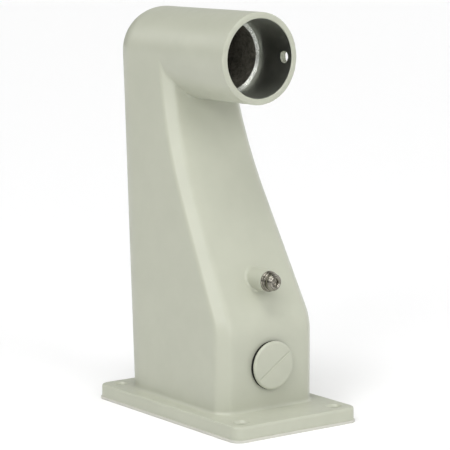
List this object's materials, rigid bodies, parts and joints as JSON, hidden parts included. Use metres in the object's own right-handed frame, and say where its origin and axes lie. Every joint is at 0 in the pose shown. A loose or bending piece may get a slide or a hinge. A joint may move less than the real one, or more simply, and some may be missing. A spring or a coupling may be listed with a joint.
{
  "type": "pendant arm bracket",
  "caption": "Hollow cast arm standing on a rectangular wall flange, with a round side socket for a tube, a slotted conduit plug and an earth screw.",
  "frame": {"origin": "centre of the four wall screws, on the underside of the gasket, which is the wall face", "axes": "+Z away from the wall face, +X the way the tube socket opens, +Y completes a right-handed frame; the casting is symmetric about the XZ plane apart from the locking screw hole"},
  "size_m": [0.2055, 0.117, 0.3108],
  "materials": {
    "painted_casting": "satin light grey-green paint over cast aluminium",
    "gasket_foam": "matt off-white closed-cell sheet",
    "painted_plug": "satin light grey-green paint",
    "black_rubber": "matt",
    "stainless_steel": "bright machined"
  },
  "bodies": {
    "casting": {"arm_casting": "painted_casting", "wall_gasket": "gasket_foam"},
    "seal": {"plug_seal": "black_rubber"},
    "plug": {"conduit_plug": "painted_plug"},
    "washers": {"earth_flat_washer": "stainless_steel", "earth_lock_washer": "stainless_steel"},
    "screw": {"earth_screw": "stainless_steel"}
  },
  "joints": [
    {"name": "plug_travel", "type": "slide", "parent": "casting", "child": "seal", "axis": [1, 0, 0], "range_m": [0, 0.0105]},
    {"name": "plug_turn", "type": "hinge", "parent": "seal", "child": "plug", "pos_m": [0.058, 0, 0.046], "axis": [1, 0, 0], "range_deg": [0, 2520]},
    {"name": "screw_travel", "type": "slide", "parent": "casting", "child": "washers", "axis": [1, 0, 0], "range_m": [0, 0.01125]},
    {"name": "screw_turn", "type": "hinge", "parent": "washers", "child": "screw", "pos_m": [0.0555, 0, 0.1095], "axis": [1, 0, 0], "range_deg": [0, 3240]}
  ],
  "couplings": [
    {"joint": "plug_turn", "follows": "plug_travel", "rad_per_m": 4188.8},
    {"joint": "screw_turn", "follows": "screw_travel", "rad_per_m": 5026.5}
  ]
}
